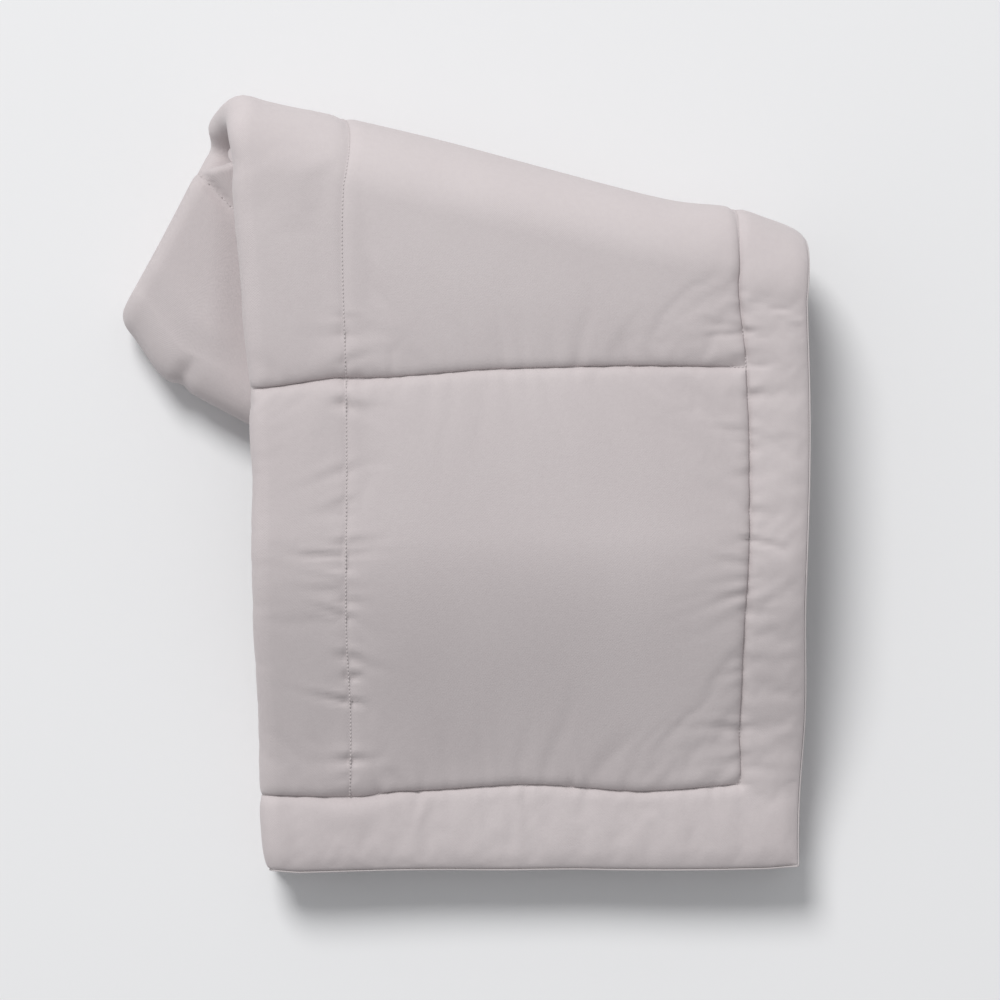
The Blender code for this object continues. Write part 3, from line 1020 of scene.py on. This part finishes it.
stitchPlan = {
    "pitch": 0.0031, "length": 0.0024, "thick": 0.0010, "lift": 0.00034, "sides": 6,
    "firstAt": 0.0015, "lookAhead": 0.0008,
    # rings of one stitch: (part of its length, share of its thickness, share of its lift)
    "rings": ((0.0, 0.30, -0.6), (0.12, 0.80, 0.2), (0.5, 1.0, 1.0), (0.88, 0.80, 0.2),
              (1.0, 0.30, -0.6)),
    # shares of the half turns that the lengthwise and crosswise seams run on over
    "turnTo": 0.62, "overTo": 0.6,
}


def readLine(at, run, line):
    return np.stack([np.interp(at, run, line[:, k]) for k in range(3)], -1)


def unit(vectors):
    return vectors / np.maximum(np.linalg.norm(vectors, axis=-1, keepdims=True), 1e-9)


def lineRun(line):
    return np.r_[0, np.cumsum(np.linalg.norm(np.diff(line, axis=0), axis=1))]


def tubeFaces(first, rings, sides):
    # A closed tube through rings of points, starting at a point's number
    faces = []
    for r in range(rings - 1):
        for k in range(sides):
            a, b = first + r * sides + k, first + r * sides + (k + 1) % sides
            faces.append((a, b, b + sides, a + sides))
    faces.append(tuple(first + k for k in range(sides))[::-1])
    faces.append(tuple(first + (rings - 1) * sides + k for k in range(sides)))
    return faces


def sewnPiece(name, points, faces, material, body, nodes):
    mesh = bpy.data.meshes.new(name)
    mesh.from_pydata(points, [], faces)
    mesh.shade_smooth()
    piece = bpy.data.objects.new(name, mesh)
    bpy.context.scene.collection.objects.link(piece)
    piece.data.materials.append(material)
    if body:
        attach(piece, body)
    else:
        bendWithFold(piece)
    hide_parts(*nodes)
    return piece


def stitchRow(name, line, normals, weights, body, nodes):
    # Short sewn threads laid end to end along a line on the face
    plan = stitchPlan
    run = lineRun(line)
    sides = plan["sides"]
    points, faces, blendAt = [], [], []
    for start in np.arange(plan["firstAt"], run[-1] - plan["pitch"], plan["pitch"]):
        faces += tubeFaces(len(points), len(plan["rings"]), sides)
        for part, width, rise in plan["rings"]:
            at = start + plan["length"] * part
            here = readLine(at, run, line)
            forward = unit(readLine(at + plan["lookAhead"], run, line) - here)
            normal = unit(readLine(at, run, normals))
            sideways = np.cross(normal, forward)
            radius = plan["thick"] / 2 * width
            middle = here + normal * plan["lift"] * rise
            for k in range(sides):
                a = 2 * math.pi * k / sides
                points.append(middle + (sideways * math.cos(a) + normal * math.sin(a)) * radius)
            if weights is not None:
                blendAt += [np.interp(at, run, weights)] * sides
    points = [tuple(p) for p in points]
    return sewnPiece(name, points, faces, sewingThread, body, nodes)


print("sewing the seams")
turnEnd = rowAt("turn", math.pi * stitchPlan["turnTo"], 1)
hemRow = rowAt("top", seamPlan["hem"], 1)
for name, x in (("side_border", seamPlan["side"]), ("box", seamPlan["box"])):
    j = columnAt(x)
    stitchRow(name + "_stitching", facePoints[hemRow:turnEnd, j],
              faceNormals[hemRow:turnEnd, j], faceWeights[hemRow:turnEnd], None,
              [name + "_stitches_top_leaf", name + "_stitches_turn"])
overTurn = stripWidth - wideTurnX + pitch * math.pi * stitchPlan["overTo"]
sideEnd = int(np.argmin(np.abs(faceColumns[:, 4] - overTurn)))
sideFirst = columnAt(seamPlan["side"])
for name, y, node in (("hem", seamPlan["hem"], "hem_border_stitches"),
                      ("row", seamPlan["row"], "row_stitches_top_leaf")):
    i = rowAt("top", y, 1)
    stitchRow(name + "_stitching", facePoints[i, sideFirst:sideEnd],
              faceNormals[i, sideFirst:sideEnd], None, "top_leaves", [node])


def underSeam():
    # The row seam that shows on the upper under leaf, left of the top leaves
    under = sorted((value, i) for i, (kind, value, leaf) in enumerate(faceRows)
                   if kind == "under" and leaf < 0)
    values, rows = [value for value, i in under], [i for value, i in under]
    line, normals = [], []
    for j in range(sideFirst, sideEnd):
        x = np.clip(faceColumns[j, 0], 0, stripWidth)
        start = -x * slopeTan
        share = (underRowAt(x) - start) / (foldPlan["underLength"] + underExtra(x) - start)
        line.append(readLine(share, values, facePoints[rows, j]))
        normals.append(readLine(share, values, faceNormals[rows, j]))
    return np.array(line), np.array(normals)


line, normals = underSeam()
stitchRow("under_row_stitching", line, normals, None, "under_leaves",
          ["row_stitches_under_leaf"])

# Sewn edges

edgePlan = {"thick": 0.0014, "sides": 8, "rib": 0.00018, "ribPitch": 0.0026, "out": 0.0009,
            "spacing": 0.0013, "steep": 0.9}


def edgeCord(name, line, body, nodes):
    # The rolled edge where face and back are sewn together, with a faint rib at each stitch
    plan = edgePlan
    run = lineRun(line)
    at = np.linspace(0, run[-1], int(run[-1] / plan["spacing"]))
    path = readLine(at, run, line)
    forward = unit(np.gradient(path, axis=0))
    guide = np.where(np.abs(forward[:, 2:3]) > plan["steep"], np.array([[1.0, 0, 0]]), upward)
    sideways = unit(np.cross(forward, guide))
    lift = np.cross(sideways, forward)
    radius = plan["thick"] / 2 + plan["rib"] * np.sin(at * 2 * math.pi / plan["ribPitch"])
    angles = 2 * math.pi * np.arange(plan["sides"]) / plan["sides"]
    rings = (path[:, None] + radius[:, None, None]
             * (np.cos(angles)[None, :, None] * sideways[:, None]
                + np.sin(angles)[None, :, None] * lift[:, None]))
    points, faces = rings.reshape(-1, 3).tolist(), tubeFaces(0, len(at), plan["sides"])
    return sewnPiece(name, points, faces, edgeHighlightCloth, body, nodes)


print("sewing the edges")
edgeColumns = faceColumns.copy()
edgeColumns[0, 0] += edgePlan["out"]
edgeRows = list(faceRows)
edgeRows[0], edgeRows[-1] = ("top", -edgePlan["out"], 1), ("top", -edgePlan["out"], -1)
edgeLine = placed(layRows(edgeColumns, edgeRows, 0 * faceHeights))
freeEdge = edgeCord("free_edge_seam", edgeLine[:, 0], None,
                    ["side_edge_seam_top_leaf", "side_edge_seam_second_leaf"])
upperHem = edgeCord("upper_hem_seam", edgeLine[0], "top_leaves", ["hem_seam_top_leaf"])
lowerHem = edgeCord("lower_hem_seam", edgeLine[-1], "top_leaves",
                    ["hem_seam_second_leaf"])

# Floor, light and camera

studio = {
    "floorSize": 60.0, "floorColour": (0.84, 0.84, 0.845), "floorRough": 0.9, "floorShine": 0.1,
    "keyPlace": (-3.15, 7.72, 8.62), "keySize": 4.8, "keyPower": 1125.0,
    "skyColour": (0.97, 0.98, 1.0), "skyPower": 0.42,
    "eyeHeight": 3.26, "eyeAim": (0.0286, -0.0120), "eyeLens": 147.0, "eyeSensor": 36.0,
    "eyeReach": 100.0,
}

print("setting the floor, light and camera")
half = studio["floorSize"] / 2
floorMesh = bpy.data.meshes.new("studioFloor")
floorMesh.from_pydata([(-half, -half, 0), (half, -half, 0), (half, half, 0), (-half, half, 0)],
                      [], [(0, 1, 2, 3)])
floor = bpy.data.objects.new("studioFloor", floorMesh)
bpy.context.scene.collection.objects.link(floor)
floorPaint = bpy.data.materials.new("paleFloor")
floorPaint.use_nodes = True
floorShader = floorPaint.node_tree.nodes["Principled BSDF"]
floorShader.inputs["Base Color"].default_value = (*studio["floorColour"], 1)
floorShader.inputs["Roughness"].default_value = studio["floorRough"]
floorShader.inputs["Specular IOR Level"].default_value = studio["floorShine"]
floorMesh.materials.append(floorPaint)

world = bpy.data.worlds.new("studioSky")
world.use_nodes = True
sky = world.node_tree.nodes["Background"]
sky.inputs["Color"].default_value = (*studio["skyColour"], 1)
sky.inputs["Strength"].default_value = studio["skyPower"]
bpy.context.scene.world = world

keyData = bpy.data.lights.new("windowLight", "AREA")
keyData.shape = "DISK"
keyData.size = studio["keySize"]
keyData.energy = studio["keyPower"]
key = bpy.data.objects.new("windowLight", keyData)
key.location = studio["keyPlace"]
key.rotation_mode = "QUATERNION"
key.rotation_quaternion = (-Vector(studio["keyPlace"])).to_track_quat("-Z", "Y")
bpy.context.scene.collection.objects.link(key)

eyeData = bpy.data.cameras.new("overheadCamera")
eyeData.lens = studio["eyeLens"]
eyeData.sensor_width = studio["eyeSensor"]
eyeData.clip_end = studio["eyeReach"]
eye = bpy.data.objects.new("overheadCamera", eyeData)
eye.location = (*studio["eyeAim"], studio["eyeHeight"])
bpy.context.scene.collection.objects.link(eye)
bpy.context.scene.camera = eye
bpy.context.scene.view_settings.view_transform = "Standard"
